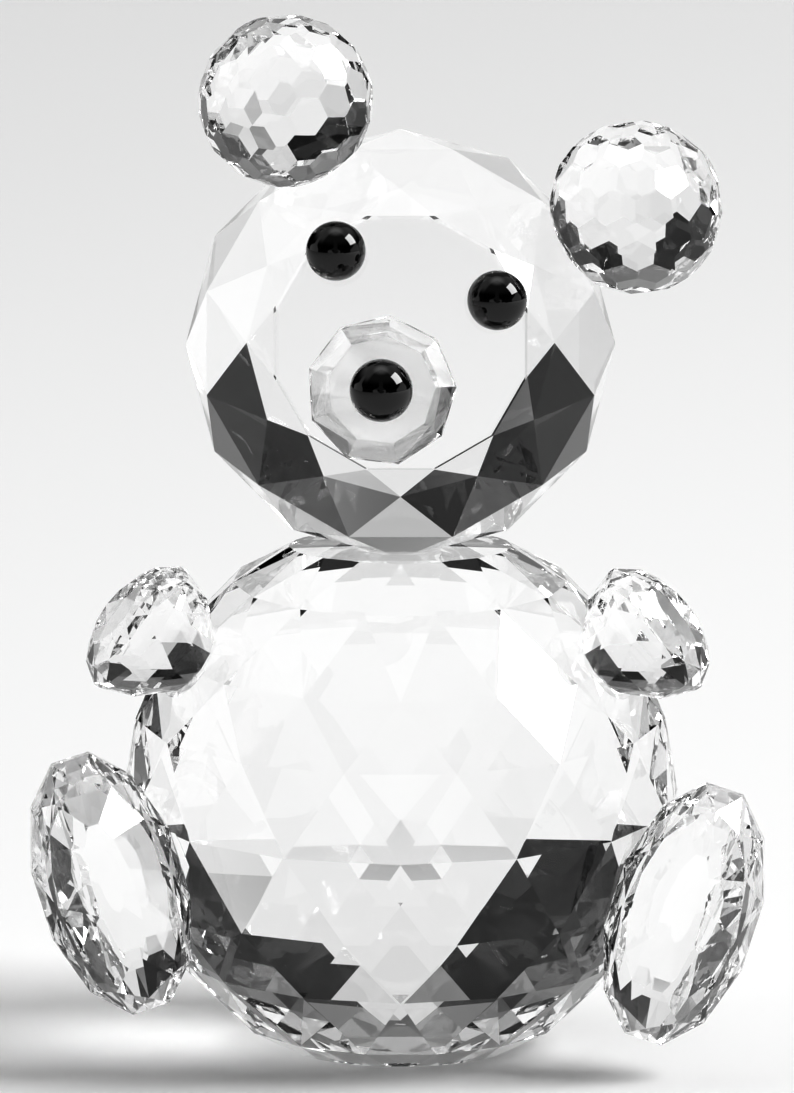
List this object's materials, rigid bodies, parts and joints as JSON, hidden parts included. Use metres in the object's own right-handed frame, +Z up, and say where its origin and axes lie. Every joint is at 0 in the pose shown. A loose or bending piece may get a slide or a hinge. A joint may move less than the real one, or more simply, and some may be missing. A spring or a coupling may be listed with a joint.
{
  "type": "crystal glass figurine",
  "caption": "Sitting bear of cut clear crystal: faceted balls and oval stones glued on ground flats, with black bead eyes and nose; rests on a flat base.",
  "frame": {"origin": "centre of the body's flat base, on the surface the figurine stands on", "axes": "+Z up, the bear faces -Y, +X to the right as a viewer in front sees it"},
  "size_m": [0.0519, 0.0416, 0.0747],
  "materials": {
    "crystal": "clear cut crystal glass, polished facets",
    "jet_glass": "opaque black glass, polished",
    "adhesive": "clear cured adhesive"
  },
  "bodies": {
    "root": {"body": "crystal", "head": "crystal", "left_ear": "crystal", "right_ear": "crystal", "left_eye": "jet_glass", "right_eye": "jet_glass", "snout": "crystal", "nose": "jet_glass", "left_arm": "crystal", "right_arm": "crystal", "left_leg": "crystal", "right_leg": "crystal", "neck_film": "adhesive", "left_ear_film": "adhesive", "right_ear_film": "adhesive", "left_eye_film": "adhesive", "right_eye_film": "adhesive", "snout_film": "adhesive", "nose_film": "adhesive", "left_arm_film": "adhesive", "right_arm_film": "adhesive", "left_leg_film": "adhesive", "right_leg_film": "adhesive"}
  },
  "joints": []
}
